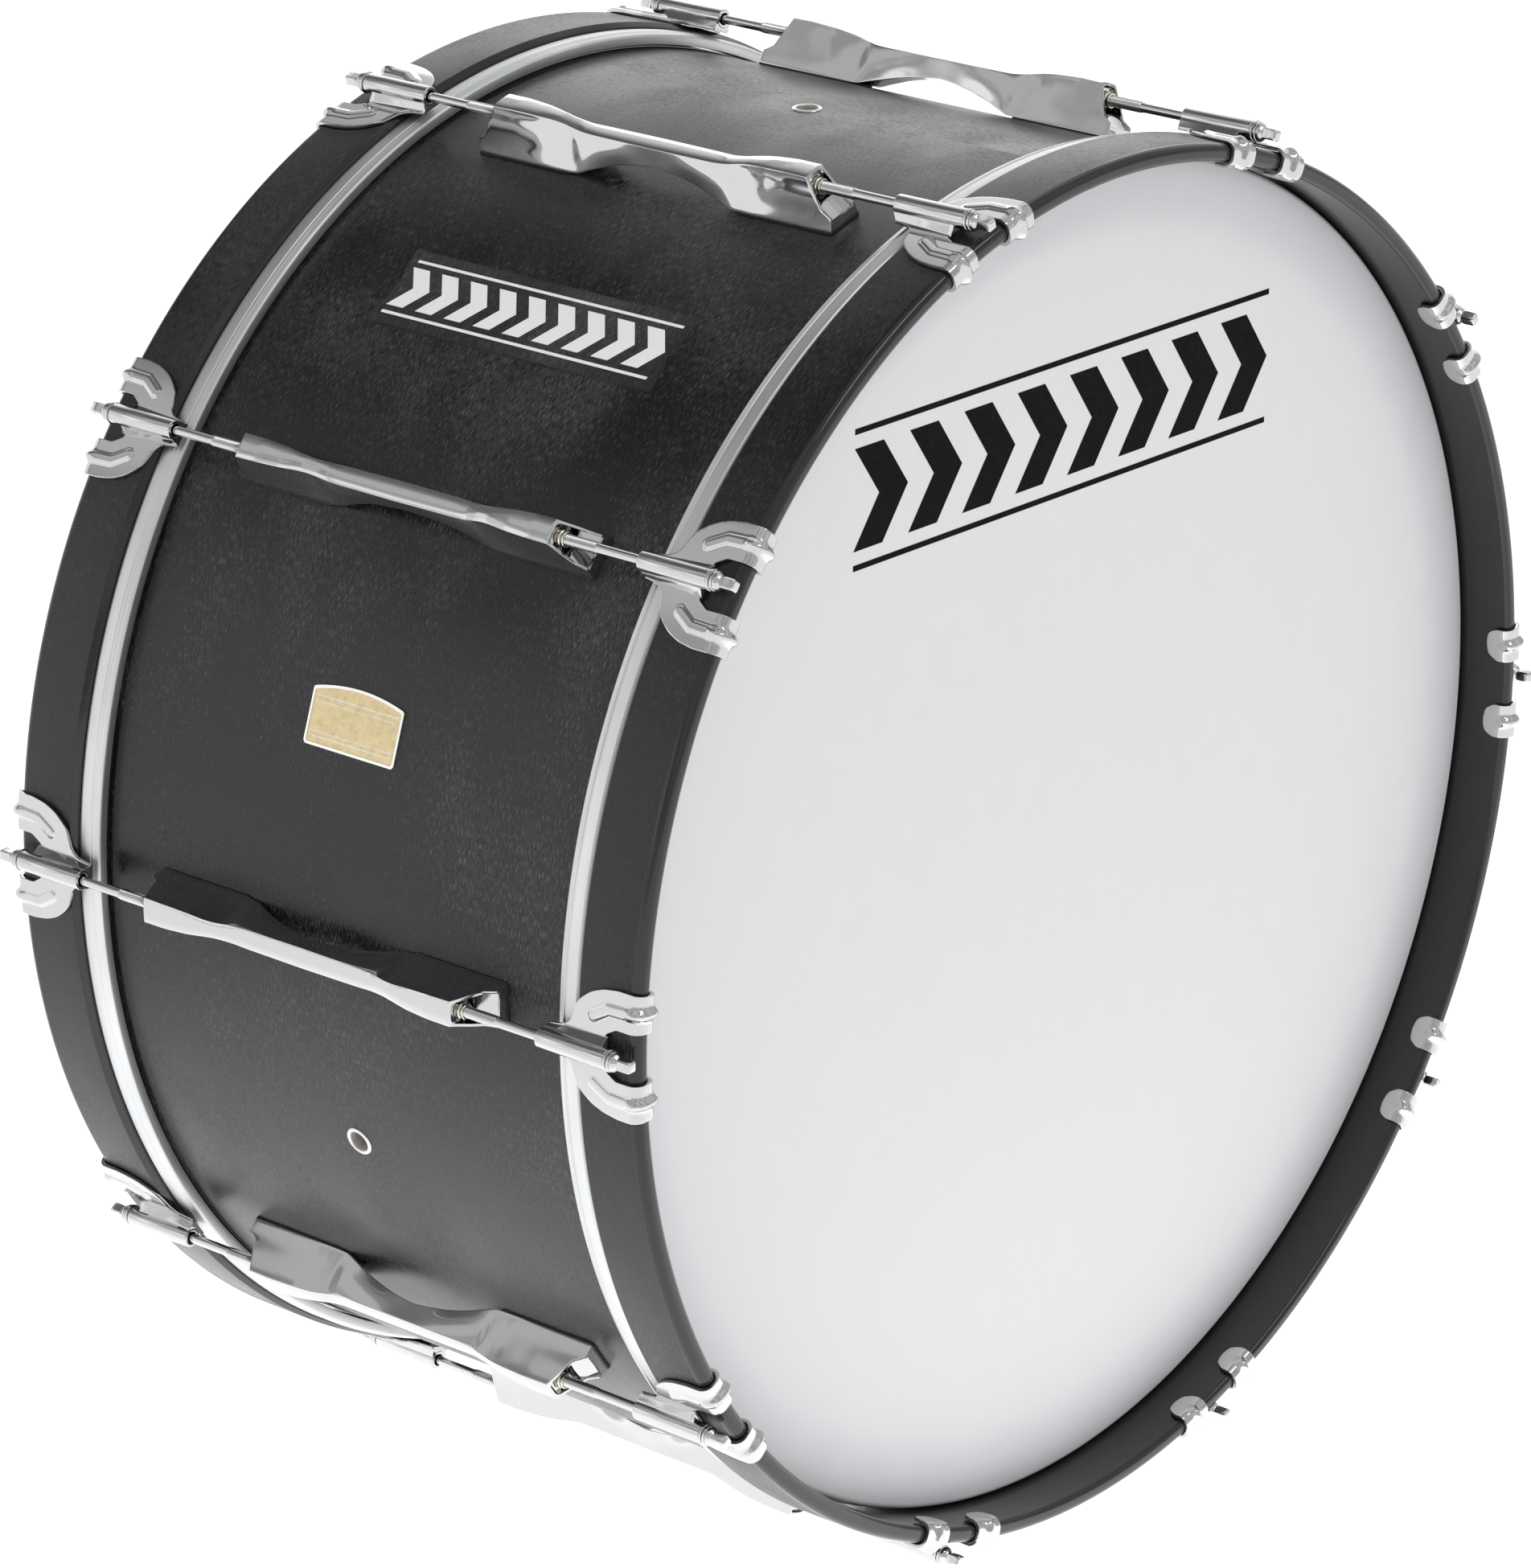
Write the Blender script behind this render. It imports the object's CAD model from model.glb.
import math

import bmesh
import bpy
import numpy as np
from mathutils import Matrix, Vector
from mathutils.geometry import delaunay_2d_cdt


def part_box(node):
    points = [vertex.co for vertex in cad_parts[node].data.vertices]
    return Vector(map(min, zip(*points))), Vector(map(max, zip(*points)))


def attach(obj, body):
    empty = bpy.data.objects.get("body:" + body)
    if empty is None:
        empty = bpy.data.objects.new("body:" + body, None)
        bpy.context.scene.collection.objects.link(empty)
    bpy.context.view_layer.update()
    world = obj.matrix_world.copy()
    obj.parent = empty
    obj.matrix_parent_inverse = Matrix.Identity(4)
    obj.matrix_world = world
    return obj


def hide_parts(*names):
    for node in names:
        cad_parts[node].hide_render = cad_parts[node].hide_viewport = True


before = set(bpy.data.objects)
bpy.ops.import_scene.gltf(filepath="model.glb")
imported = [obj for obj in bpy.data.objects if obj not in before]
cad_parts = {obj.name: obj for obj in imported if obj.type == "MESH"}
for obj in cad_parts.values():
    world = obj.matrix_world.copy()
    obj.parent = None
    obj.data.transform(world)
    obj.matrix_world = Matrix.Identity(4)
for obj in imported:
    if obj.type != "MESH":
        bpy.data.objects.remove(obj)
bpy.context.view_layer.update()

MM = 0.001
STATIONS = 10
STATION_TURN = 2 * math.pi / STATIONS
FRONT, REAR = "front", "rear"
RING_FLATS = 60  # the CAD rings are drawn with this many flats

# ---------- sizes, from the frame, in mm


def outer_radius(node):
    """Radius of a CAD ring from its box, whose widest points are half a flat off the X axis."""
    low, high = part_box(node)
    return (high.x - low.x) / 2 / MM / math.cos(math.pi / RING_FLATS)


def out_range(node):
    low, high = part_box(node)
    return low.y / MM, high.y / MM


def middle_height(node):
    low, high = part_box(node)
    return (low.z + high.z) / 2


AXIS_HEIGHT = middle_height("rear_hoop")
SHELL_R = outer_radius("shell")
HOOP_R = outer_radius("rear_hoop")
FLESH_R = outer_radius("rear_flesh_hoop")
HOOP_IN, HOOP_OUT = out_range("rear_hoop")
FLESH_IN, FLESH_OUT = out_range("rear_flesh_hoop")
HEAD_OUT = out_range("rear_head")[1]
SHELL_OUT = out_range("shell")[1]
CLAW_IN, CLAW_OUT = out_range("rear_claw_01")
ROD_OUT = out_range("rear_rod_01")[1]
LUG_END = out_range("lug_01")[1]
ROD_R = 373.2  # the tension rods' distance from the drum's axis
CLAW_R = HOOP_R + 0.5
SHELL_WALL = 7.0
HOOP_WALL = 9.3
FILM = 0.6
SUNK = 0.05  # how deep printed and stuck-on pieces reach into what carries them

# ---------- node helpers


def add_node(tree, kind, inputs=(), **settings):
    """A new node with some settings, its inputs linked to sockets or set to values."""
    made = tree.nodes.new(kind)
    for key, value in settings.items():
        setattr(made, key, value)
    for key, value in dict(inputs).items():
        if isinstance(value, bpy.types.NodeSocket):
            tree.links.new(value, made.inputs[key])
        else:
            made.inputs[key].default_value = value
    return made


class Shader:
    """A Principled material with short calls for the nodes that feed it."""

    def __init__(self, name, **constants):
        self.material = bpy.data.materials.new(name)
        self.material.use_nodes = True
        self.tree = self.material.node_tree
        self.bsdf = self.tree.nodes["Principled BSDF"]
        for socket, value in constants.items():
            self.bsdf.inputs[socket.replace("_", " ")].default_value = value

    def node(self, kind, inputs=(), **settings):
        return add_node(self.tree, kind, inputs, **settings)

    def place(self, scale, source="Object"):
        """Coordinates in metres times `scale` on each axis."""
        coords = self.node("ShaderNodeTexCoord").outputs[source]
        mapping = self.node("ShaderNodeMapping", {"Vector": coords, "Scale": scale})
        return mapping.outputs["Vector"]

    def noise(self, vector, detail=2.0, roughness=0.5, scale=1.0):
        inputs = {"Vector": vector, "Scale": scale, "Detail": detail, "Roughness": roughness}
        return self.node("ShaderNodeTexNoise", inputs).outputs["Fac"]

    def span(self, value, low, high, to_low=0.0, to_high=1.0, smooth=True):
        inputs = {"Value": value, 1: low, 2: high, 3: to_low, 4: to_high}
        kind = "SMOOTHSTEP" if smooth else "LINEAR"
        return self.node("ShaderNodeMapRange", inputs, interpolation_type=kind).outputs[0]

    def math(self, operation, a, b=0.0):
        return self.node("ShaderNodeMath", {0: a, 1: b}, operation=operation).outputs[0]

    def mix(self, fac, a, b):
        """Colour mix."""
        return self.node("ShaderNodeMix", {0: fac, 6: a, 7: b}, data_type="RGBA").outputs[2]

    def feed(self, socket, value):
        self.tree.links.new(value, self.bsdf.inputs[socket])

    def bump(self, height, strength, distance):
        inputs = {"Height": height, "Strength": strength, "Distance": distance}
        self.feed("Normal", self.node("ShaderNodeBump", inputs).outputs["Normal"])


def grey(value):
    return (value, value, value, 1.0)


def dimmed(colour, share):
    return tuple(c * share for c in colour[:3]) + (1.0,)


# ---------- materials


def stained_wood(name, dark, light, streaks, roughness, gloss):
    """Black stained veneer: short pale pores that run round the drum, over a slow cloudy tone."""
    s = Shader(name, IOR=1.47, Coat_Roughness=0.25, Coat_Weight=gloss)
    along = s.place((1 / 0.0046, 1 / 0.00035, 1.0), "UV")
    pores = s.noise(along, detail=3.0, roughness=0.65)
    wide = s.noise(s.place((1 / 0.028, 1 / 0.0016, 1.0), "UV"), detail=2.0)
    cloud = s.noise(s.place((9.0, 14.0, 1.0), "UV"), detail=3.0)
    threshold = s.span(cloud, 0.3, 0.7, 0.60, 0.50)
    pore_mask = s.span(s.math("SUBTRACT", pores, threshold), 0.01, 0.07)
    tone = s.mix(s.span(wide, 0.35, 0.75), grey(dark), grey(dark * 1.9))
    tone = s.mix(s.math("MULTIPLY", pore_mask, streaks), tone, grey(light))
    s.feed("Base Color", tone)
    rough = s.span(cloud, 0.3, 0.7, roughness - 0.05, roughness + 0.06)
    s.feed("Roughness", s.math("ADD", rough, s.math("MULTIPLY", pore_mask, 0.10)))
    s.bump(s.math("ADD", s.math("MULTIPLY", pore_mask, -1.0), s.math("MULTIPLY", wide, 0.3)), 0.8, 0.0002)
    return s.material


def lacquer(name):
    """Glossy black lacquer on the hoops' rounded rims, with dust-fine orange peel and rubbed spots."""
    s = Shader(name, IOR=1.5)
    slow = s.noise(s.place((60.0, 60.0, 60.0)), detail=3.0)
    worn = s.noise(s.place((420.0, 420.0, 420.0)), detail=4.0, roughness=0.7)
    s.feed("Base Color", s.mix(s.span(worn, 0.62, 0.78), grey(0.012), grey(0.05)))
    s.feed("Roughness", s.span(slow, 0.3, 0.7, 0.07, 0.14))
    s.bump(worn, 0.08, 0.0002)
    return s.material


def chrome(name, tint, low, high):
    """Polished plate: faint haze, wiping marks and pinhead specks."""
    s = Shader(name, Metallic=1.0)
    haze = s.noise(s.place((45.0, 45.0, 45.0)), detail=3.0)
    wipes = s.noise(s.place((900.0, 120.0, 900.0)), detail=4.0, roughness=0.65)
    s.feed("Base Color", s.mix(s.span(wipes, 0.35, 0.8), tint, dimmed(tint, 0.97)))
    rough = s.span(haze, 0.3, 0.7, low, high)
    s.feed("Roughness", s.math("ADD", rough, s.span(wipes, 0.55, 0.8, 0.0, 0.03)))
    s.bump(wipes, 0.01, 0.00005)
    return s.material


def drawn_aluminium(name):
    """Satin aluminium with fine drawing lines round the ring."""
    s = Shader(name, Metallic=1.0)
    lines = s.noise(s.place((1 / 0.09, 1 / 0.00018, 1.0), "UV"), detail=2.0)
    cloud = s.noise(s.place((14.0, 60.0, 1.0), "UV"), detail=3.0)
    s.feed("Base Color", s.mix(s.span(cloud, 0.3, 0.7), (0.60, 0.61, 0.62, 1.0), (0.68, 0.69, 0.70, 1.0)))
    s.feed("Roughness", s.span(lines, 0.3, 0.7, 0.40, 0.52))
    s.bump(lines, 0.12, 0.0001)
    return s.material


def film(name):
    """White coated drumhead: faint mottling and fingerprints, slightly greyer towards its rim."""
    s = Shader(name, IOR=1.5)
    radius = s.node("ShaderNodeVectorMath", {0: s.place((1.0, 0.0, 1.0))}, operation="LENGTH")
    mottle = s.noise(s.place((38.0, 38.0, 38.0)), detail=4.0, roughness=0.6)
    wander = s.math("MULTIPLY", s.noise(s.place((11.0, 11.0, 11.0)), detail=2.0), 0.016)
    edge = s.span(s.math("ADD", radius.outputs["Value"], wander), 0.322, 0.342)
    white = s.mix(s.span(mottle, 0.35, 0.7), (0.655, 0.66, 0.675, 1.0), (0.67, 0.675, 0.69, 1.0))
    s.feed("Base Color", s.mix(edge, white, (0.62, 0.63, 0.65, 1.0)))
    s.feed("Roughness", s.span(mottle, 0.3, 0.7, 0.42, 0.55))
    s.bump(s.noise(s.place((700.0, 700.0, 700.0)), detail=2.0), 0.05, 0.0001)
    return s.material


def plain_paint(name, colour, roughness, metallic=0.0, shine=0.5, worn=0.82):
    """Printed ink, enamel or a small metal part, with slight unevenness."""
    s = Shader(name, Metallic=metallic, Specular_IOR_Level=shine)
    uneven = s.noise(s.place((300.0, 300.0, 300.0)), detail=4.0, roughness=0.65)
    s.feed("Base Color", s.mix(s.span(uneven, 0.35, 0.75), colour, dimmed(colour, worn)))
    s.feed("Roughness", s.span(uneven, 0.3, 0.7, roughness - 0.04, roughness + 0.08))
    s.bump(uneven, 0.1, 0.0001)
    return s.material


WOOD = stained_wood("stained_shell", 0.002, 0.10, 1.0, 0.31, 0.0)
HOOP_WOOD = stained_wood("stained_hoop", 0.003, 0.055, 0.8, 0.34, 0.0)
LACQUER = lacquer("black_lacquer")
CHROME = chrome("chrome_plate", (0.55, 0.555, 0.555, 1.0), 0.04, 0.09)
ROD_STEEL = chrome("plated_steel", (0.57, 0.57, 0.56, 1.0), 0.12, 0.2)
ALUMINIUM = drawn_aluminium("drawn_aluminium")
FILM_WHITE = film("coated_film")
BRASS = plain_paint("nickelled_brass", (0.76, 0.72, 0.62, 1.0), 0.2, 1.0)
EYELET = chrome("eyelet_plate", (0.62, 0.62, 0.61, 1.0), 0.16, 0.26)
LINER = plain_paint("vent_liner", (0.50, 0.47, 0.43, 1.0), 0.5)
RUBBER = plain_paint("gasket_rubber", (0.012, 0.012, 0.012, 1.0), 0.6)
INK = plain_paint("black_ink", (0.004, 0.004, 0.005, 1.0), 0.6, shine=0.05)
WHITE_INK = plain_paint("white_ink", (0.99, 0.99, 0.99, 1.0), 0.45, worn=0.96)
LABEL = stained_wood("clear_label", 0.014, 0.10, 1.0, 0.34, 0.2)
BADGE_RIM = chrome("badge_rim", (0.86, 0.86, 0.85, 1.0), 0.18, 0.28)
BADGE_FIELD = plain_paint("badge_champagne", (0.74, 0.60, 0.34, 1.0), 0.34, 0.35)
BADGE_LINE = plain_paint("badge_pinstripe", (0.86, 0.83, 0.72, 1.0), 0.35)

# ---------- mesh helpers


def mesh_of(name, verts, faces, materials, crease=35.0, uvs=None):
    """Closed mesh in metres from millimetres, normals out, smooth but for creases above `crease` degrees."""
    mesh = bpy.data.meshes.new(name)
    mesh.from_pydata([Vector(v) * MM for v in verts], [], [list(f) for f in faces])
    for material in materials:
        mesh.materials.append(material)
    if uvs is not None:
        layer = mesh.uv_layers.new(name="UVMap")
        corners = np.array(uvs, np.float32)[[loop.vertex_index for loop in mesh.loops]]
        layer.data.foreach_set("uv", corners.ravel())
    tidy(mesh, crease)
    return mesh


def tidy(mesh, crease):
    """Normals out, and smooth shading but for creases above `crease` degrees."""
    work = bmesh.new()
    work.from_mesh(mesh)
    bmesh.ops.recalc_face_normals(work, faces=work.faces)
    work.to_mesh(mesh)
    work.free()
    mesh.shade_smooth()
    mesh.set_sharp_from_angle(angle=math.radians(crease))


def linked(name, data):
    """An object that holds `data`, in the scene."""
    obj = bpy.data.objects.new(name, data)
    bpy.context.scene.collection.objects.link(obj)
    return obj


def placed(name, mesh, body, station=None, side=REAR, nodes=(), turn=None):
    """An object of `mesh`, turned to its station and side, riding on its body in place of CAD nodes."""
    obj = linked(name, mesh)
    if turn is None:
        turn = 0.0 if station is None else (station - 0.5) * STATION_TURN
    half = Matrix.Rotation(math.pi if side == FRONT else 0.0, 4, "Z")
    obj.matrix_world = Matrix.Translation((0, 0, AXIS_HEIGHT)) @ Matrix.Rotation(turn, 4, "Y") @ half
    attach(obj, body)
    if nodes:
        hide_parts(*nodes)
    return obj


def rounded(points, radii, steps=5):
    """A closed outline with its corners rounded to the given radii."""
    out = []
    count = len(points)
    for i, corner in enumerate(points):
        radius = radii[i] if isinstance(radii, (list, tuple)) else radii
        p = np.array(corner, float)
        a = np.array(points[i - 1], float) - p
        b = np.array(points[(i + 1) % count], float) - p
        la, lb = np.linalg.norm(a), np.linalg.norm(b)
        a, b = a / la, b / lb
        angle = math.acos(max(-1.0, min(1.0, float(a @ b))))
        if radius <= 0 or angle > math.pi - 0.02:
            out.append(tuple(p))
            continue
        reach = min(radius / math.tan(angle / 2), 0.48 * la, 0.48 * lb)
        radius = reach * math.tan(angle / 2)
        middle = (a + b) / np.linalg.norm(a + b)
        centre = p + middle * (radius / math.sin(angle / 2))
        start, end = p + a * reach - centre, p + b * reach - centre
        for k in range(steps + 1):
            t = k / steps
            v = start * (1 - t) + end * t
            out.append(tuple(centre + v / np.linalg.norm(v) * radius))
    return out


def lathe(name, outline, materials, segments=360, crease=35.0, material_of=None, centre=None, closed=True):
    """Turned body from an outline of (radius, out), round the drum's axis or an axis at radius `centre`.

    An outline that isn't closed starts and ends on the turning axis. Its UVs are metres round and along."""
    outline = np.array(outline, float)
    count = len(outline)
    angles = np.arange(segments) * 2 * math.pi / segments
    verts, faces, uvs, face_mats = [], [], [], []
    for angle in angles:
        for radius, out in outline:
            verts.append((radius * math.sin(angle), out, radius * math.cos(angle) + (centre or 0.0)))
    lengths = np.concatenate([[0.0], np.cumsum(np.linalg.norm(np.roll(outline, -1, 0) - outline, axis=1))])
    reference = outline[:, 0].max()
    for ring in range(segments):
        after = (ring + 1) % segments
        for i in range(count if closed else count - 1):
            j = (i + 1) % count
            quad = [(ring, i), (after, i), (after, j), (ring, j)]
            if outline[i][0] < 1e-6:
                quad = [(ring, i), (after, j), (ring, j)]
            elif outline[j][0] < 1e-6:
                quad = [(ring, i), (after, i), (ring, j)]
            faces.append([a * count + b for a, b in quad])
            for corner, place in quad:
                turned = ring if corner == ring else ring + 1
                length = lengths[i] if place == i else lengths[i + 1]
                uvs.append((turned * 2 * math.pi / segments * reference * MM, length * MM))
            if material_of:
                face_mats.append(material_of((outline[i] + outline[j]) / 2))
    mesh = bpy.data.meshes.new(name)
    mesh.from_pydata([Vector(v) * MM for v in verts], [], faces)
    for material in materials:
        mesh.materials.append(material)
    if material_of:
        mesh.polygons.foreach_set("material_index", face_mats)
    layer = mesh.uv_layers.new(name="UVMap")
    layer.data.foreach_set("uv", np.asarray(uvs, np.float32).ravel())
    work = bmesh.new()
    work.from_mesh(mesh)
    bmesh.ops.remove_doubles(work, verts=work.verts, dist=1e-6)
    work.to_mesh(mesh)
    work.free()
    tidy(mesh, crease)
    return mesh


def bend(points, reference):
    """Bends flat (across, out, radius) points round the drum: across becomes distance along the curve."""
    points = np.array(points, float)
    turn = points[:, 0] / reference
    return np.column_stack([points[:, 2] * np.sin(turn), points[:, 1], points[:, 2] * np.cos(turn)])


def slab(outline, low, high, spacing=0.0):
    """Flat slab (across, out, radius) over an outline of (across, out); inner points allow it to bend."""
    outline = [tuple(p) for p in outline]
    points = list(outline)
    if spacing:
        xs, ys = zip(*outline)
        across = np.arange(min(xs) + spacing / 2, max(xs), spacing)
        along = np.arange(min(ys) + spacing / 2, max(ys), spacing)
        grid = np.array([(x, y) for x in across for y in along]).reshape(-1, 2)
        points += [tuple(p) for p in grid[inside(grid, outline, spacing * 0.35)]]
    flat, faces = triangulated(points, len(outline))
    verts = [(x, y, high) for x, y in flat] + [(x, y, low) for x, y in flat]
    return verts, both_sides(faces, len(flat))


def triangulated(points, rim):
    """Points and triangles inside the closed outline made by the first `rim` points."""
    edges = [(i, (i + 1) % rim) for i in range(rim)]
    flat, _, faces, _, _, _ = delaunay_2d_cdt([Vector(p) for p in points], edges, [], 1, 1e-5)
    return [tuple(p) for p in flat], [tuple(f) for f in faces]


def border(faces):
    """Directed edges used by one face only."""
    directed = {}
    for face in faces:
        for i, a in enumerate(face):
            directed[(a, face[(i + 1) % len(face)])] = True
    return [edge for edge in directed if (edge[1], edge[0]) not in directed]


def walls(rings, size):
    """Quads between rings of `size` points that follow each other in a list of points."""
    faces = []
    for low in range(0, (rings - 1) * size, size):
        for k in range(size):
            n = (k + 1) % size
            faces.append((low + k, low + n, low + size + n, low + size + k))
    return faces


def both_sides(faces, count):
    """Faces of a sheet, of its back, whose points come `count` later, and of the walls between them."""
    solid = [tuple(f) for f in faces] + [tuple(i + count for i in reversed(f)) for f in faces]
    return solid + [(b, a, a + count, b + count) for a, b in border(faces)]


def inside(points, outline, margin):
    """Which of the points lie within the outline and at least `margin` from its edge."""
    x, y = np.asarray(points, float).T[:, :, None]
    start = np.asarray(outline, float)
    (x1, y1), (dx, dy) = start.T, (np.roll(start, -1, axis=0) - start).T
    crossed = ((y1 > y) != (y1 + dy > y)) & (x < x1 + dx * (y - y1) / np.where(dy == 0, 1.0, dy))
    t = np.clip(((x - x1) * dx + (y - y1) * dy) / np.maximum(dx * dx + dy * dy, 1e-12), 0.0, 1.0)
    gap = ((x - x1 - t * dx) ** 2 + (y - y1 - t * dy) ** 2).min(axis=1)
    return (crossed.sum(axis=1) % 2 == 1) & (gap >= margin * margin)


def joined(*parts):
    """Several (verts, faces) lists as one."""
    verts, faces = [], []
    for part_verts, part_faces in parts:
        start = len(verts)
        verts += [tuple(v) for v in part_verts]
        faces += [tuple(i + start for i in f) for f in part_faces]
    return verts, faces


def smooth(value, low, high):
    """Smoothstep from 0 at `low` to 1 at `high`."""
    t = np.clip((value - low) / (high - low), 0.0, 1.0)
    return t * t * (3 - 2 * t)


def profile(value, table):
    """Reading of a table of (place, value) pairs, with its corners rounded over `width` to both sides."""
    xs, ys = np.array(table, float).T
    width = 1.6
    return np.mean([np.interp(value + d, xs, ys) for d in (-width, -width / 2, 0, width / 2, width)], axis=0)


# ---------- rings


def shell_mesh():
    """Plywood tube with rounded bearing edges."""
    inside_r = SHELL_R - SHELL_WALL
    edge = SHELL_OUT
    rows = [edge - 2.0, 150, 120, 90, 60, 40, 24, 13, 9, 5, 0]
    half = [(SHELL_R, out) for out in rows]
    outer = half + [(r, -out) for r, out in half[-2::-1]]
    inner = [(inside_r, -edge + 5), (inside_r, 0.0), (inside_r, edge - 5)]
    crown = [(SHELL_R - 0.3, -edge + 0.8), (SHELL_R - 1, -edge), (SHELL_R - 2, -edge)]
    crown_back = [(r, -out) for r, out in reversed(crown)]
    return lathe("shell_skin", outer + crown + inner + crown_back, [WOOD], segments=480)


def hoop_mesh():
    """Wooden counter hoop: a thin bevel on its inner edge and a rounded outer rim."""
    inside_r = HOOP_R - HOOP_WALL
    bevel, rim_round = 2.4, 5.4
    bevel_end = HOOP_IN + 1.25 * bevel
    corners = [
        (inside_r, HOOP_IN),
        (HOOP_R - bevel, HOOP_IN),
        (HOOP_R, bevel_end),
        (HOOP_R, HOOP_OUT),
        (inside_r, HOOP_OUT),
    ]
    outline = rounded(corners, [1.2, 0.5, 0.8, rim_round, 3.2], steps=7)

    def finish(middle):
        """Lacquer on the bevel and the rounded rim, bare stained veneer on the flat."""
        bare = bevel_end < middle[1] < HOOP_OUT - rim_round
        return int(not (bare and middle[0] > inside_r + 1))

    return lathe("hoop_wood", outline, [HOOP_WOOD, LACQUER], material_of=finish, segments=480)


def flesh_mesh():
    """Aluminium flesh hoop, with a raised lip, a groove beside it and a step at its outer edge."""
    inner, low, high = FLESH_R - 6.6, FLESH_IN, FLESH_OUT
    groove = low + 4.2
    corners = [
        (inner, low),
        (FLESH_R - 1.2, low),
        (FLESH_R - 0.5, groove - 1.5),
        (FLESH_R, groove - 0.5),
        (FLESH_R, groove),
        (FLESH_R - 0.55, groove + 0.4),
        (FLESH_R - 0.55, groove + 1.0),
        (FLESH_R - 0.1, groove + 1.4),
        (FLESH_R, high - 1.6),
        (FLESH_R - 0.7, high - 0.9),
        (FLESH_R - 0.7, high),
        (inner, high),
    ]
    radii = [0.3, 1.6, 0.3, 0.25, 0.15, 0.1, 0.1, 0.2, 0.4, 0.15, 0.15, 0.3]
    return lathe("flesh_ring", rounded(corners, radii, steps=3), [ALUMINIUM], segments=480)


def head_mesh():
    """Film over the shell's edge, its collar held in the flesh hoop."""
    collar = SHELL_R + 0.5
    top = HEAD_OUT

    def turn_down(radius, level, bend_r, start, end):
        """Quarter round from the flat film at `level` to the collar at `radius`, or back."""
        angles = np.linspace(start, end, 7)
        return [(radius - bend_r * (1 - math.sin(a)), level - bend_r * (1 - math.cos(a))) for a in angles]

    outer = [(0.0, top)] + [(r, top) for r in (60, 120, 180, 240, 300, 330, 345)]
    bend_out = turn_down(collar + FILM, top, 3, 0, math.pi / 2)
    down = [(collar + FILM, FLESH_IN + 2), (collar, FLESH_IN + 2)]
    back = turn_down(collar, top - FILM, 2.6, math.pi / 2, 0)
    inner = [(345.0, top - FILM), (0.0, top - FILM)]
    return lathe("head_film", outer + bend_out + down + back + inner, [FILM_WHITE], closed=False)


# ---------- lug

# Radii and lengths of the casting. The tables give a radius or half width for each distance from its middle.
LUG_SEAT = 354.75
LUG_TOP = 382.0
LUG_EDGE = 381.4  # where the side walls start, under the crown's rounding
LUG_END_TOP = LUG_END - 13.5
LUG_KINK = (LUG_END - 5.5, 365.0)
LUG_FOOT_TOP = 361.7
LUG_SLANT = 84.0  # beyond this the cross sections lean towards the sloping end
LUG_CREST = [
    (0, 376.9), (40, 376.9), (46, 377.1), (51, 377.8), (57, 379), (62, 380), (68, 380.8), (75, 381.5),
    (85, 382), (95, 382.2), (104, 382.1), (120, 382),
]
LUG_ARCH = [
    (0, 366), (10, 365), (20, 363.3), (30, 361), (40, 358), (46, 356.1), (49, 355.0), (51, LUG_SEAT),
    (130, LUG_SEAT),
]
LUG_CROWN = [
    (0, 5.3), (38, 5.0), (48, 4.5), (57, 4.1), (64, 4.5), (74, 5.6), (88, 6.3), (104, 6.5), (130, 6.5),
]
LUG_FOOT = [
    (0, 6.0), (25, 6.6), (38, 8.2), (46, 9.8), (52, 10.6), (62, 10.9), (100, 10.9), (117, 10.6), (130, 10.5),
]
# The hollow's half width under the crown, at each of these radii.
LUG_ROOF = ((372.0, 377.0, 379.5, 381.0), (12.0, 8.8, 5.4, 1.0))


def lug_end(radius):
    """How far out the lug's sloping end lies at each radius."""
    kink_out, kink_r = LUG_KINK
    radii = [LUG_SEAT, LUG_FOOT_TOP, kink_r, LUG_TOP]
    return float(np.interp(radius, radii, [LUG_END, LUG_END, kink_out, LUG_END_TOP]))


def lug_slant(nominal, radius):
    """Place along the lug of a cross section's point, once the section leans with the sloping end."""
    if nominal <= LUG_SLANT:
        return nominal
    return LUG_SLANT + (nominal - LUG_SLANT) * (lug_end(radius) - LUG_SLANT) / (LUG_END - LUG_SLANT)


def lug_wall(out, share):
    """Half width of the lug's side, from its crown edge (share 0) to its foot (share 1)."""
    out = abs(out)
    crown, foot = profile(out, LUG_CROWN), profile(out, LUG_FOOT)
    block = share**1.3
    valley = share**1.15
    bridge = 0.75 * share**0.8 + 0.25 * share**2
    edge = 74.0 - 10.0 * min(1.0, share * 1.5) ** 1.3
    as_block = smooth(out, edge - 4.5, edge + 2.5)
    as_bridge = 1 - smooth(out, 47.0, 54.5)
    shape = valley + as_block * (block - valley) + as_bridge * (bridge - valley)
    bulge = 0.35 * as_block * math.sin(math.pi * min(1.0, share * 1.25)) ** 2
    bulge *= 0.6 + 0.4 * smooth(out, 80, 100)
    bulge += 0.7 * as_bridge * smooth(out, 8, 30) * math.sin(math.pi * share)
    return crown + (foot - crown) * shape + bulge


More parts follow.
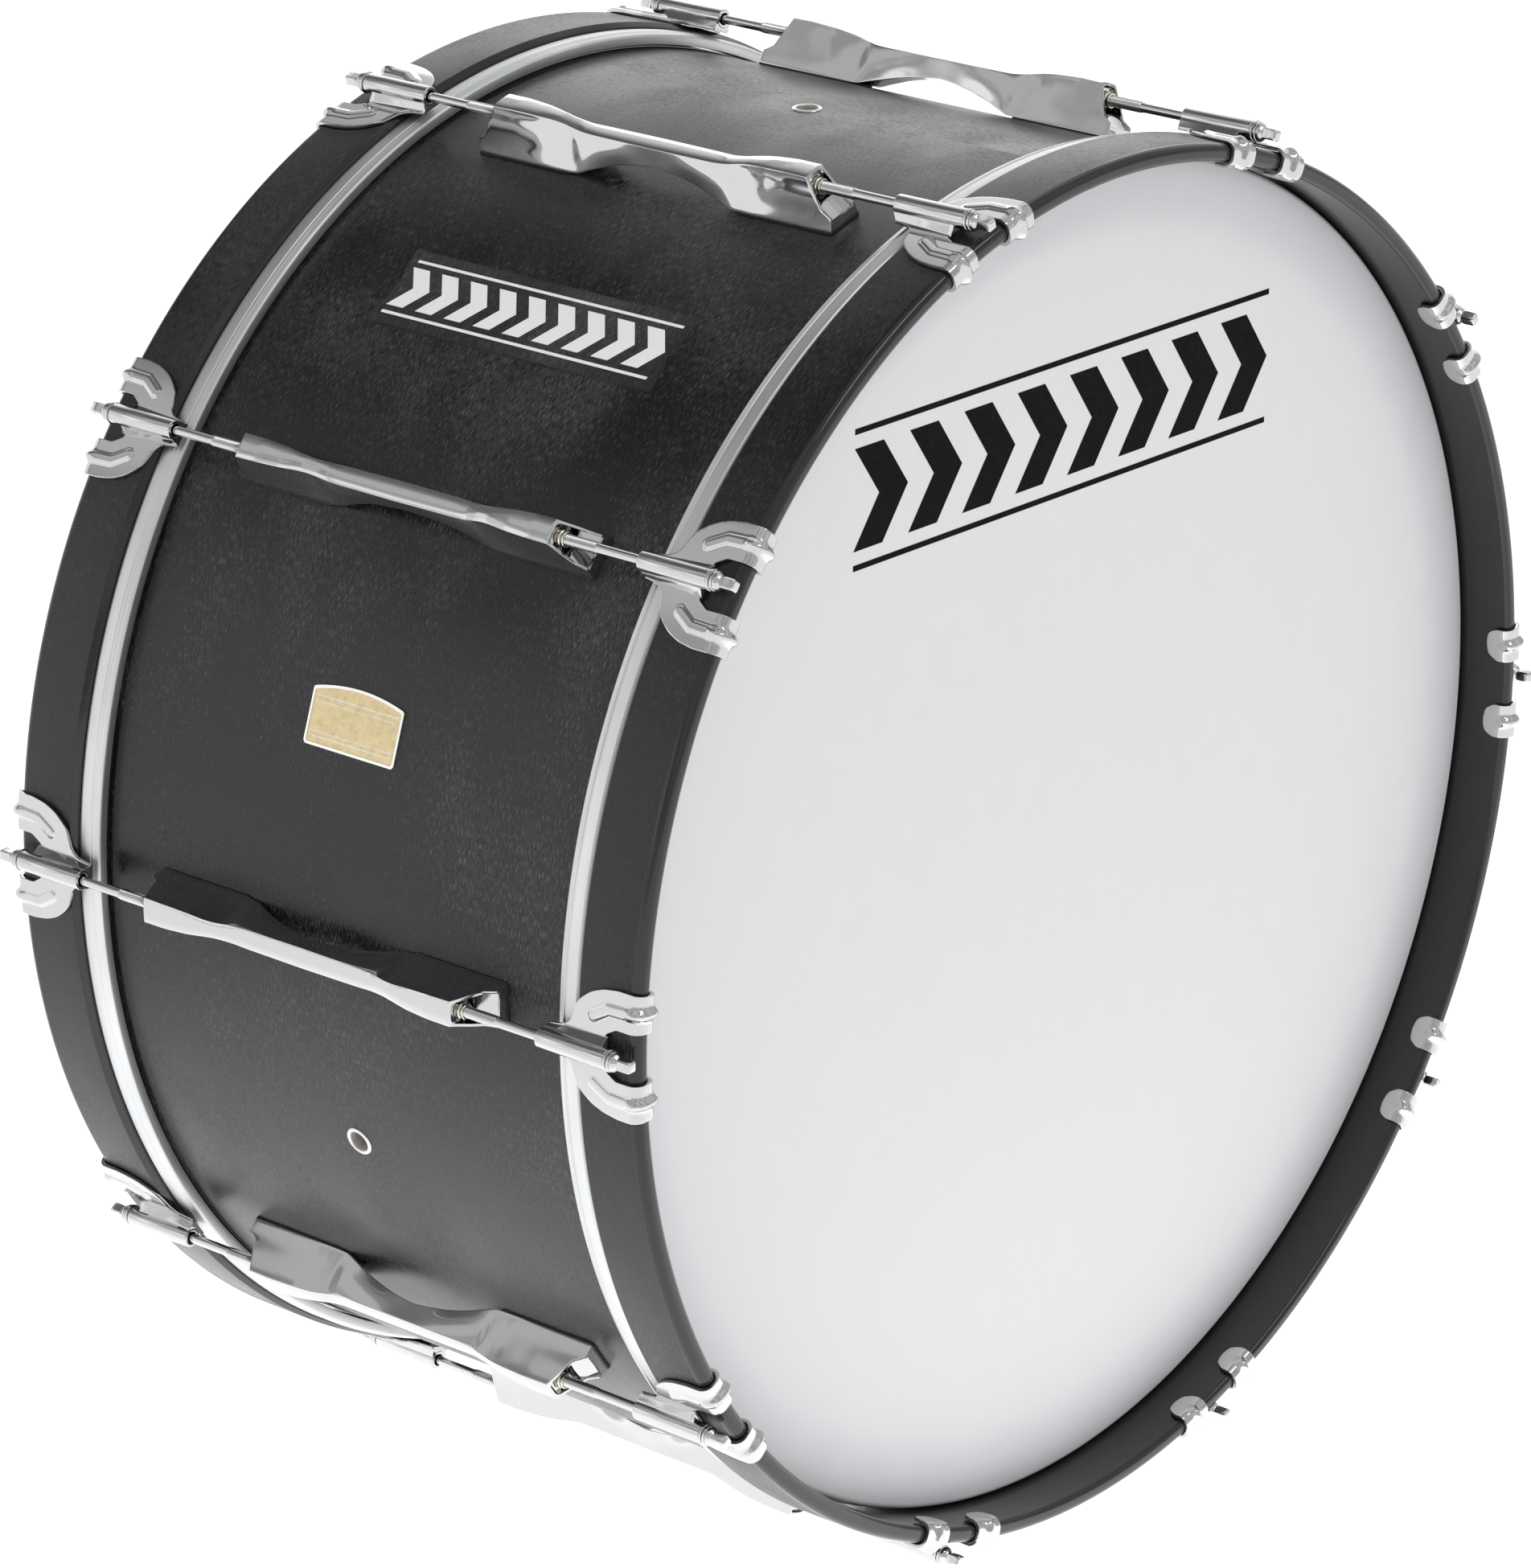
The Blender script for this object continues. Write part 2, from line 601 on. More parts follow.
def lug_blank():
    """Lofted body of the lug, before its ends are hollowed."""
    kink_share = (LUG_EDGE - LUG_KINK[1]) / (LUG_EDGE - LUG_SEAT)
    foot_share = (LUG_EDGE - LUG_FOOT_TOP) / (LUG_EDGE - LUG_SEAT)
    shares = [0, 0.04, 0.1, 0.17, 0.25, 0.33, 0.41, 0.49, 0.56, kink_share, 0.68, foot_share]
    shares += [0.8, 0.87, 0.94, 1.0]
    bridge, valley = np.arange(0, 44, 3.0), np.arange(44, LUG_SLANT, 1.4)
    block = np.linspace(LUG_SLANT, LUG_END, 16)
    stations = sorted(set(np.round(np.concatenate([bridge, valley, block]), 3)))
    stations = [-s for s in reversed(stations) if s > 0] + stations
    crown_steps, under_steps = 8, 5
    drop = 0.75  # how far the crown's edges lie below its middle
    verts, rings = [], []
    for station in stations:
        sign = -1.0 if station < 0 else 1.0
        nominal = abs(station)
        crest, floor = profile(nominal, LUG_CREST), profile(nominal, LUG_ARCH)
        if nominal > 80:
            floor = LUG_SEAT
        left, right = [], []
        for share in shares:
            radius = (crest - drop) + (floor - crest + drop) * share
            out = lug_slant(nominal, radius)
            half = lug_wall(out, share)
            left.append((-half, sign * out, radius))
            right.append((half, sign * out, radius))
        half, out, edge = right[0]
        crown = []
        for k in range(1, crown_steps):
            x = -1 + 2 * k / crown_steps
            radius = edge + drop * (1 - abs(x) ** 2.2)
            y = sign * lug_slant(nominal, radius) if nominal > LUG_SLANT else out
            crown.append((x * half, y, radius))
        foot, foot_out, low = right[-1]
        under = [(foot * (1 - 2 * k / under_steps), foot_out, low) for k in range(1, under_steps)]
        ring = list(reversed(left)) + crown + right + under
        rings.append(range(len(verts), len(verts) + len(ring)))
        verts += ring
    faces = walls(len(rings), len(rings[0]))
    rows = len(shares)
    for ring in (rings[0], rings[-1]):
        left = [ring[rows - 1 - k] for k in range(rows)]
        right = [ring[rows + crown_steps - 1 + k] for k in range(rows)]
        faces.append([left[0]] + [ring[rows + k] for k in range(crown_steps - 1)] + [right[0]])
        for k in range(rows - 2):
            faces.append((left[k], right[k], right[k + 1], left[k + 1]))
        faces.append([left[-2], right[-2], right[-1], *ring[rows * 2 + crown_steps - 1 :], left[-1]])
    return verts, faces


def lug_cutter(sign):
    """Hollow of one end: a shallow panel round the nut, a deep pocket below it and a sloping ledge."""
    end = LUG_END
    side = [
        (LUG_END_TOP - 1.2, 380.4),
        (end + 12, 380.4),
        (end + 12, 359.9),
        (end - 1.0, 359.9),
        (end - 8.6, 366.6),
        (end - 10.8, 366.4),
        (end - 12.0, 359.5),
        (end - 24, 359.0),
        (end - 25.5, 363.0),
        (end - 21, 368.2),
        (end - 14.5, 369.6),
        (end - 13.6, 376.0),
    ]
    side = rounded(side, [1.5, 0, 0, 0.5, 1.6, 1.2, 1.0, 2.0, 3.0, 2.0, 1.6, 2.0], steps=4)
    flat, tris = triangulated(side, len(side))
    half = 20.0
    verts = [(-half, sign * y, r) for y, r in flat] + [(half, sign * y, r) for y, r in flat]
    return verts, both_sides(tris, len(flat))


def lug_core(sign):
    """Inside of the end's side walls: as wide as the end at each radius, less the wall."""
    wall, start_out, end_out = 1.35, 80, 140
    radii = np.linspace(357.5, 381.0, 22)
    verts = []
    for radius in radii:
        share = (LUG_EDGE - radius) / (LUG_EDGE - LUG_SEAT)
        half = min(lug_wall(100.0, max(0.0, share)) - wall, float(np.interp(radius, *LUG_ROOF)))
        verts += [(-half, sign * start_out, radius), (half, sign * start_out, radius)]
        verts += [(half, sign * end_out, radius), (-half, sign * end_out, radius)]
    count = len(verts)
    caps = [(0, 1, 2, 3), (count - 1, count - 2, count - 3, count - 4)]
    return verts, walls(len(radii), 4) + caps


def cut(obj, tool, operation="DIFFERENCE"):
    modifier = obj.modifiers.new("cut", "BOOLEAN")
    modifier.operation, modifier.solver, modifier.object = operation, "EXACT", tool


def evaluated(objects):
    """Mesh of the first of these objects with its modifiers applied. The objects are removed."""
    result = bpy.data.meshes.new_from_object(
        objects[0].evaluated_get(bpy.context.evaluated_depsgraph_get())
    )
    for obj in objects:
        mesh = obj.data
        bpy.data.objects.remove(obj)
        bpy.data.meshes.remove(mesh)
    return result


def boolean(base, tool, operation):
    """`base` cut or met by `tool`, both (verts, faces) in mm."""
    objects = []
    for verts, faces in (base, tool):
        mesh = bpy.data.meshes.new("work")
        mesh.from_pydata([Vector(v) for v in verts], [], [list(f) for f in faces])
        tidy(mesh, 30)
        objects.append(linked("work", mesh))
    cut(*objects, operation)
    result = evaluated(objects)
    out = ([tuple(v.co) for v in result.vertices], [tuple(p.vertices) for p in result.polygons])
    bpy.data.meshes.remove(result)
    return out


def bar_solid(radius, start, end, centre, sides):
    """Plain bar along Y, used for cutting."""
    verts = []
    for out in (start, end):
        for k in range(sides):
            a = 2 * math.pi * k / sides
            verts.append((radius * math.sin(a), out, centre + radius * math.cos(a)))
    return verts, walls(2, sides) + [tuple(range(sides - 1, -1, -1)), tuple(range(sides, 2 * sides))]


def welded(verts, faces, distance):
    """Working mesh of these faces, its coinciding points joined. Faces that are there twice are dropped."""
    work = bmesh.new()
    made = [work.verts.new(v) for v in verts]
    for face in faces:
        try:
            work.faces.new([made[i] for i in face])
        except ValueError:
            continue
    bmesh.ops.remove_doubles(work, verts=work.verts, dist=distance)
    return work


def lists_of(work):
    """(verts, faces) of a working mesh, which is freed."""
    work.verts.index_update()
    out = ([tuple(v.co) for v in work.verts], [tuple(v.index for v in f.verts) for f in work.faces])
    work.free()
    return out


def softened(verts, faces, width, angle):
    """Bevels every edge sharper than `angle` degrees."""
    work = welded(verts, faces, 1e-4)
    bmesh.ops.recalc_face_normals(work, faces=work.faces)
    sharp = [e for e in work.edges if len(e.link_faces) == 2 and e.calc_face_angle() > math.radians(angle)]
    bmesh.ops.bevel(
        work, geom=sharp, offset=width, segments=2, affect="EDGES", profile=0.6, clamp_overlap=True
    )
    return lists_of(work)


def lug_mesh():
    """Bridge lug with both its ends hollowed and bored for the nuts."""
    body = lug_blank()
    for sign in (1.0, -1.0):
        hollow = boolean(lug_cutter(sign), lug_core(sign), "INTERSECT")
        body = boolean(body, hollow, "DIFFERENCE")
        hole = bar_solid(4.6, sign * 80, sign * 110, ROD_R, sides=40)
        body = boolean(body, hole, "DIFFERENCE")
    verts, faces = softened(*body, width=0.32, angle=38)
    return mesh_of("lug_cast", verts, faces, [CHROME], crease=32)


# ---------- claw

# The stamping is planned flat, as (across, length), before it is folded over the hoop's rim.
CLAW_SHEET = 2.0
CLAW_TOP = CLAW_R + CLAW_SHEET
FOLD_R = 6.0
FOLD_OUT = CLAW_OUT - FOLD_R
FACE_LENGTH = CLAW_TOP - (HOOP_R - HOOP_WALL - 1.0) - 2 * FOLD_R + CLAW_SHEET
TAB_LENGTH = 8.5
FOLD_LENGTH = FOLD_R * math.pi / 2
CLAW_HALF, LEG_MIDDLE, NOTCH_HALF = 33.0, 23.0, 13.0
FACE_START = FOLD_OUT + FOLD_LENGTH
FACE_END = FACE_START + FACE_LENGTH
TAB_START = FACE_END + FOLD_LENGTH
TAB_END = TAB_START + TAB_LENGTH
RIB = [(17.0, 182.6), (22.2, 191.8), (22.7, FOLD_OUT), (22.7, TAB_START + 1.0)]


def claw_path(s):
    """Point and outward normal, as (out, radius), at length `s` along the claw's outer face."""
    if s <= FOLD_OUT:
        return (s, CLAW_TOP), (0.0, 1.0)
    if s <= FACE_START:
        a = (s - FOLD_OUT) / FOLD_R
        place = (FOLD_OUT + FOLD_R * math.sin(a), CLAW_TOP - FOLD_R + FOLD_R * math.cos(a))
        return place, (math.sin(a), math.cos(a))
    low = CLAW_TOP - FOLD_R - FACE_LENGTH
    if s <= FACE_END:
        return (CLAW_OUT, CLAW_TOP - FOLD_R - (s - FACE_START)), (1.0, 0.0)
    if s <= TAB_START:
        a = (s - FACE_END) / FOLD_R
        return (FOLD_OUT + FOLD_R * math.cos(a), low - FOLD_R * math.sin(a)), (math.cos(a), -math.sin(a))
    return (FOLD_OUT - (s - TAB_START), low - FOLD_R), (0.0, -1.0)


def rib_height(x, s):
    """Height of the embossed rib, which swells into a bead where it goes over the rim."""
    near = 1e9
    for (x1, s1), (x2, s2) in zip(RIB[:-1], RIB[1:]):
        dx, ds = x2 - x1, s2 - s1
        t = max(0.0, min(1.0, ((abs(x) - x1) * dx + (s - s1) * ds) / (dx * dx + ds * ds)))
        near = min(near, math.hypot(abs(x) - x1 - t * dx, s - s1 - t * ds))
    bead = float(smooth(s, FOLD_OUT - 2.5, FOLD_OUT + 2.5))
    bead *= 1 - float(smooth(s, FACE_END + 3.0, TAB_START))
    plate = (1 - float(smooth(s, FACE_END, TAB_START))) * (1 - bead)
    pad = 1 - float(smooth(near, 1.6, 3.4))
    roll = 0.5 + 0.5 * math.cos(math.pi * min(1.0, near / 4.4))
    return 1.25 * plate * pad + 2.6 * bead * roll


def claw_outline():
    """Flat outline of the stamping: the corners of its right half, and their mirror image."""
    wing = [
        (6.3, CLAW_IN + 0.4), (7.0, 160), (8.2, 165.5), (11.6, 168.7), (15.5, 169.9), (20.9, 171.9),
        (23.9, 174.8), (28.2, 180.3), (31.2, 188.0), (32.6, 197.0), (32.6, FOLD_OUT), (32.0, FACE_END),
        (32.0, TAB_START + 2), (29.5, TAB_END - 1), (LEG_MIDDLE, TAB_END), (16.5, TAB_END - 1),
        (NOTCH_HALF, TAB_START + 2),
        (NOTCH_HALF, FACE_START), (NOTCH_HALF, 196.6), (9.2, 190.2), (4.0, 190.0),
    ]
    radii = [1, 6, 8, 5, 5, 8, 8, 20, 25, 20, 0, 0, 5, 5, 10, 5, 5, 0, 4, 3, 0]
    full = wing + [(-x, s) for x, s in reversed(wing)]
    return rounded(full, radii + radii[::-1], steps=4)


def claw_plate():
    """Stamped plate: triangulated flat, then folded over the rim and bent round the hoop."""
    outline = claw_outline()
    spacing = 0.9
    dense = []
    for (x1, s1), (x2, s2) in zip(outline, outline[1:] + outline[:1]):
        pieces = max(1, int(math.hypot(x2 - x1, s2 - s1) / spacing))
        dense += [(x1 + (x2 - x1) * k / pieces, s1 + (s2 - s1) * k / pieces) for k in range(pieces)]
    rows = list(np.arange(CLAW_IN + 1.3, FOLD_OUT, 0.8))
    rows += list(np.linspace(FOLD_OUT, FACE_START, 12)) + list(np.linspace(FACE_START, FACE_END, 5)[1:])
    rows += list(np.linspace(FACE_END, TAB_START, 12)[1:]) + list(np.arange(TAB_START + 1.5, TAB_END, 1.5))
    grid = []
    for row, s in enumerate(rows):
        stagger = spacing / 2 * (row % 2)
        grid += [(x, s) for x in np.arange(stagger - CLAW_HALF, CLAW_HALF, spacing)]
    grid = np.array(grid)
    points = dense + [tuple(p) for p in grid[inside(grid, dense, 0.4)]]
    flat, tris = triangulated(points, len(dense))
    upper, lower = [], []
    for x, s in flat:
        (out, radius), (n_out, n_radius) = claw_path(s)
        lift = rib_height(x, s)
        for verts, shift in ((upper, lift), (lower, lift - CLAW_SHEET)):
            verts.append((x, out + n_out * shift, radius + n_radius * shift))
    return softened(bend(upper + lower, CLAW_R), both_sides(tris, len(flat)), width=0.3, angle=62)


def claw_web():
    """Folded foot that carries the rod's tube on the plate."""
    verts = []
    stations = [(CLAW_IN + 0.2, 6.2), (CLAW_IN + 1.0, 6.6), (165, 7.2), (178, 7.9), (189, 8.6), (191.6, 8.5)]
    for out, foot in stations:
        right = [(foot, CLAW_TOP - 0.9), (foot - 0.7, CLAW_TOP + 0.5), (5.6, ROD_R - 2.6)]
        right += [(4.95, ROD_R - 1.2), (3.4, ROD_R - 2.9), (0.0, ROD_R - 4.2)]
        verts += [(x, out, r) for x, r in right + [(-x, r) for x, r in reversed(right[:-1])]]
    count, size = len(verts), len(verts) // len(stations)
    faces = walls(len(stations), size)
    faces += [tuple(range(size)), tuple(range(count - 1, count - size - 1, -1))]
    return softened(verts, faces, width=0.25, angle=55)


def merged(name, parts, materials, crease):
    """One mesh of several (verts, faces) lists in mm and finished meshes."""
    work = bmesh.new()
    for part in parts:
        mesh = part
        if isinstance(part, tuple):
            mesh = mesh_of("part", part[0], part[1], materials, crease)
        work.from_mesh(mesh)
        bpy.data.meshes.remove(mesh)
    made = bpy.data.meshes.new(name)
    work.to_mesh(made)
    work.free()
    for material in materials:
        made.materials.append(material)
    made.shade_smooth()
    made.set_sharp_from_angle(angle=math.radians(crease))
    return made


def claw_mesh():
    """Claw: folded plate, web and the tube that the rod passes through."""
    bore, tube_r, tube_end = 3.3, 5.2, 197.3
    corners = [(bore, CLAW_IN), (tube_r, CLAW_IN), (tube_r, tube_end), (bore, tube_end)]
    outline = rounded(corners, [0.2, 0.6, 0.5, 0.2], steps=3)
    tube = lathe("tube", outline, [CHROME], segments=40, centre=ROD_R)
    return merged("claw_stamping", [claw_plate(), claw_web(), tube], [CHROME], 40)


# ---------- rod, nut and gasket


def rod_mesh():
    """Tension rod: helical thread, plain shank, washers, domed collar and square head."""
    pitch, crest, root = 1.0, 3.0, 2.35
    thread = [(out, None) for out in np.arange(98.0, 127.8, pitch / 6)]
    plain = [(128.3, 2.55), (128.6, 2.5), (160, 2.5), (197.6, 2.5)]
    stack = [
        (197.7, 5.4), (197.85, 5.65), (198.8, 5.65), (198.95, 5.4), (199.05, 4.2), (199.35, 4.2),
        (199.45, 4.9), (199.6, 5.15), (200.6, 5.15), (200.8, 4.9), (200.85, 4.3), (201.05, 4.3),
        (201.15, 4.75), (201.8, 4.8), (202.5, 4.45), (203.2, 3.8), (203.8, 3.2), (204.3, 2.9),
    ]
    head = [(204.5, 2.75), (205.0, 2.85), (207.5, 2.85)]
    head += [(ROD_OUT - 0.9, 2.8), (ROD_OUT - 0.25, 2.35), (ROD_OUT, 1.9)]
    rows = [(98.0, 0.0)] + thread + plain + stack + head + [(ROD_OUT, 0.0)]
    square_from = 204.4
    sides = 24
    verts = []
    for out, radius in rows:
        for k in range(sides):
            a = 2 * math.pi * (k + 0.5) / sides
            r = radius
            if radius is None:
                wave = (out / pitch - a / (2 * math.pi)) % 1.0
                fade = float(smooth(out, 125.5, 127.8))
                r = crest - (crest - root) * abs(2 * wave - 1) * (1 - fade) - 0.3 * fade
            elif out > square_from and radius > 0:
                flat = min(abs(1 / math.cos(a)) if abs(math.cos(a)) > 1e-6 else 9, abs(1 / math.sin(a)))
                r = radius * min(flat, 1.25)
            verts.append((r * math.sin(a), out, r * math.cos(a)))
    verts, faces = lists_of(welded(verts, walls(len(rows), sides), 1e-5))
    verts = [(x, y, z + ROD_R) for x, y, z in verts]
    return mesh_of("tension_rod", verts, faces, [ROD_STEEL], crease=38)


def nut_mesh():
    """Nut in the lug's end, with a groove near its face."""
    bore, end = 3.15, LUG_END - 8.6
    outline = [(bore, end - 10), (4.3, end - 10), (4.3, end - 2.6), (3.7, end - 2.2), (3.7, end - 1.8)]
    outline += [(4.0, end - 1.6), (4.0, end - 0.4), (3.7, end), (bore, end)]
    return lathe("lug_nut", rounded(outline, 0.12, steps=2), [BRASS], segments=32, centre=ROD_R, crease=30)


def gasket_mesh():
    """Thin rubber under one foot of a lug, a little wider than the foot."""
    start, end, half = 53.0, LUG_END + 0.7, 11.5
    corners = [(-half, start), (half, start), (half, end), (-half, end)]
    outline = rounded(corners, [5.0, 5.0, 2.2, 2.2], steps=5)
    verts, faces = slab(outline, SHELL_R - 0.1, LUG_SEAT + 0.15, spacing=3.5)
    return mesh_of("lug_gasket", bend(verts, SHELL_R), faces, [RUBBER])


# ---------- vents, badge and printed pieces

VENT_TURNS = {"vent_top": 0.0, "vent_side": -3 * STATION_TURN}


def vent_mesh():
    """Rolled eyelet with a lined bore, turned on the drum's radius."""
    seat = SHELL_R
    outline = [
        (5.6, seat - 8.5), (6.3, seat - 8.5), (6.3, seat - 0.1), (7.9, seat - 0.1), (8.0, seat + 0.1),
        (7.6, seat + 0.55), (6.8, seat + 0.8), (6.1, seat + 0.7), (5.7, seat + 0.3), (5.6, seat - 0.3),
    ]

    def finish(middle):
        """Liner in the bore, plate elsewhere."""
        return int(middle[0] < 5.7)

    mesh = lathe("vent_eyelet", rounded(outline, 0.4, steps=3), [EYELET, LINER], 48, material_of=finish)
    mesh.transform(Matrix.Rotation(math.pi / 2, 4, "X"))
    return mesh


def pierced(mesh, turns):
    """The shell with a hole under each eyelet, at these turns round the drum."""
    hole_r, reach = 6.7, 20
    objects = [linked("work", mesh)]
    for turn in turns:
        verts, faces = bar_solid(hole_r, SHELL_R - reach, SHELL_R + reach, 0.0, sides=36)
        tool = mesh_of("tool", verts, faces, [])
        tool.transform(Matrix.Rotation(turn, 4, "Y") @ Matrix.Rotation(math.pi / 2, 4, "X"))
        objects.append(linked("tool", tool))
        cut(objects[0], objects[-1])
    result = evaluated(objects)
    result.name = "shell_skin"
    tidy(result, 35)
    return result


def band(outline, inner, low, high):
    """Raised border between an outline and its inset copy, which has the same number of points."""
    count = len(outline)
    verts = [(x, y, low) for x, y in outline] + [(x, y, high) for x, y in outline]
    verts += [(x, y, high) for x, y in inner] + [(x, y, low) for x, y in inner]
    faces = []
    for ring in range(4):
        a, b = ring * count, ((ring + 1) % 4) * count
        faces += [(a + k, a + (k + 1) % count, b + (k + 1) % count, b + k) for k in range(count)]
    return verts, faces


def badge_outline(inset):
    """Plate with an arched top. Across is the height on the shell, and out its length."""
    half, low, side, top = 30.0 - inset, -15.0 + inset, 13.5 - inset, 17.5 - inset
    arch = [(side + (top - side) * (1 - (y / half) ** 2), y) for y in np.linspace(-half, half, 21)]
    base = [(low, y) for y in np.linspace(half, -half, 15)]
    corner = 2.0 - inset / 2
    return rounded(base + arch, [corner] + [0] * 13 + [corner, 1.5] + [0] * 19 + [1.5], steps=3)


def build_badge():
    """Raised rim, plate and pinstripes, in the middle of the left side."""
    turn = -2 * STATION_TURN
    low = SHELL_R - SUNK
    pieces = [
        ("badge_rim", band(badge_outline(0.0), badge_outline(1.3), low, SHELL_R + 1.15), BADGE_RIM),
        ("badge_plate", slab(badge_outline(1.2), low, SHELL_R + 0.85, spacing=4.0), BADGE_FIELD),
    ]
    lines, half = [], 27.2
    for height, width in ((9.4, 0.7), (6.6, 0.45), (-8.0, 0.45), (-10.6, 0.7)):
        outline = [(height, -half), (height + width, -half), (height + width, half), (height, half)]
        lines.append(slab(outline, SHELL_R + 0.7, SHELL_R + 0.93))
    pieces.append(("badge_pinstripes", joined(*lines), BADGE_LINE))
    for name, (verts, faces), material in pieces:
        is_rim = name == "badge_rim"
        mesh = mesh_of(name, bend(verts, SHELL_R), faces, [material], crease=30 if is_rim else 35)
        placed(name, mesh, "root", turn=turn, nodes=["badge"] if is_rim else ())


def chevron_row(count, pitch, width, point, height):
    """Outlines of a row of chevrons that point along +X, centred on the origin."""
    whole = (count - 1) * pitch + width + point
    row, half = [], height / 2
    for k in range(count):
        x = -whole / 2 + k * pitch
        right, tip = x + width, x + width + point
        row.append([(x, -half), (right, -half), (tip, 0.0), (right, half), (x, half), (x + point, 0.0)])
    return row, whole


def build_shell_label():
    """Clear label with a plain row of chevrons, high on the left side."""
    turn, middle = math.radians(-35.9), 2.0
    half_across, half_out = 23.8, 94.0
    corners = [(-half_across, middle - half_out), (half_across, middle - half_out)]
    corners += [(half_across, middle + half_out), (-half_across, middle + half_out)]
    verts, faces = slab(rounded(corners, 0.8), SHELL_R - SUNK, SHELL_R + 0.12, spacing=6.0)
    uvs = [(x * MM, y * MM) for x, y, _ in verts]
    label = mesh_of("shell_label", bend(verts, SHELL_R), faces, [LABEL], uvs=uvs)
    placed("shell_label", label, "root", turn=turn)
    row, whole = chevron_row(count=9, pitch=19.4, width=11.0, point=9.0, height=25.0)
    outlines = [[(y, middle - x) for x, y in outline] for outline in row]
    start, end, rule = middle - whole / 2, middle + whole / 2, 1.7
    for edge in (-17.6, 15.9):
        outlines.append([(edge, start), (edge + rule, start), (edge + rule, end), (edge, end)])
    verts, faces = joined(*[slab(o, SHELL_R + 0.05, SHELL_R + 0.2, spacing=3.0) for o in outlines])
    mark = mesh_of("shell_chevrons", bend(verts, SHELL_R), faces, [WHITE_INK])
    placed("shell_chevrons", mark, "root", turn=turn)


def build_head_print():
    """Plain row of black chevrons printed across the upper part of the front head."""
    row, whole = chevron_row(count=8, pitch=42.0, width=22.0, point=19.0, height=52.0)
    middle_x, middle_z, rule = -8.0, 224.0, 3.0
    for edge in (-36.0, 33.0):
        start, end = -whole / 2, whole / 2
        row.append([(start, edge), (end, edge), (end, edge + rule), (start, edge + rule)])
    verts, faces = joined(*[slab(outline, HEAD_OUT - SUNK, HEAD_OUT + 0.12) for outline in row])
    verts = [(x + middle_x, -height, z + middle_z) for x, z, height in verts]
    placed("head_chevrons", mesh_of("head_chevrons", verts, faces, [INK]), "root", turn=0.0)


# ---------- assembly


def build_rings():
    shell = pierced(shell_mesh(), VENT_TURNS.values())
    placed("shell_wood", shell, "root", nodes=["shell"])
    hoop, flesh, head = hoop_mesh(), flesh_mesh(), head_mesh()
    for side in (FRONT, REAR):
        for name, mesh, body, slot, node in (
            ("counter_hoop", hoop, f"{side}_hoop_set", "hoop_wood", "hoop"),
            ("crimped_ring", flesh, "root", "aluminium", "flesh_hoop"),
            ("drumhead", head, "root", "drumhead_film", "head"),
        ):
            placed(f"{side}_{name}", mesh, body, side=side, nodes=[f"{side}_{node}"])


def build_stations():
    lug, claw, rod, nut, gasket = lug_mesh(), claw_mesh(), rod_mesh(), nut_mesh(), gasket_mesh()
    for station in range(1, STATIONS + 1):
        number = f"{station:02d}"
        placed(f"lug_casting_{number}", lug, "root", station, nodes=[f"lug_{number}"])
        for side in (FRONT, REAR):
            hoop_set, turning = f"{side}_hoop_set", f"{side}_rod_{number}_turning"
            node = [f"{side}_claw_{number}"]
            placed(f"{side}_claw_hook_{number}", claw, hoop_set, station, side, node)
            node = [f"{side}_rod_{number}"]
            placed(f"{side}_tension_rod_{number}", rod, turning, station, side, node)
            placed(f"{side}_lug_nut_{number}", nut, "root", station, side)
            placed(f"{side}_lug_gasket_{number}", gasket, "root", station, side)


def build_vents():
    vent = vent_mesh()
    for name, turn in VENT_TURNS.items():
        placed(f"{name}_eyelet", vent, "root", turn=turn, nodes=[name])


build_rings()
build_stations()
build_vents()
build_badge()
build_shell_label()
build_head_print()

# ---------- camera, floor and light


def camera():
    """The photograph's view: from the front left, 20 degrees above the drum's middle."""
    data = bpy.data.cameras.new("camera")
    data.sensor_width, data.lens = 36.0, 150.32
    data.shift_x, data.shift_y = -0.02097, -0.01415
    data.clip_end = 100.0
    right = Vector((0.64285525, -0.76588226, 0.012708))
    up = Vector((0.25372642, 0.22856438, 0.93988362))
    forward = Vector((0.72274479, 0.60098477, -0.34125838))
    distance = 3.455
    place = -forward * distance + Vector((0, 0, AXIS_HEIGHT))
    obj = linked("camera", data)
    turned = Matrix((right, up, -forward)).transposed().to_4x4()
    obj.matrix_world = Matrix.Translation(place) @ turned
    bpy.context.scene.camera = obj


def floor():
    """White paper just under the hoops, lit a little from below near the drum."""
    half, gap = 30.0, 0.0002
    level = AXIS_HEIGHT - HOOP_R * MM - gap
    mesh = bpy.data.meshes.new("floor")
    corners = [(-half, -half, level), (half, -half, level), (half, half, level), (-half, half, level)]
    mesh.from_pydata(corners, [], [(0, 1, 2, 3)])
    s = Shader("floor_paper", Roughness=0.9, Specular_IOR_Level=0.1)
    s.bsdf.inputs["Emission Color"].default_value = grey(1.0)
    fibre = s.noise(s.place((3.0, 3.0, 3.0)), detail=3.0)
    s.feed("Base Color", s.mix(s.span(fibre, 0.3, 0.7), grey(0.60), grey(0.62)))
    away = s.node("ShaderNodeVectorMath", {0: s.place((1.0, 1.0, 0.0))}, operation="LENGTH").outputs["Value"]
    s.feed("Emission Strength", s.span(away, 0.35, 1.1, 1.38, 0.85))
    mesh.materials.append(s.material)
    linked("floor", mesh)


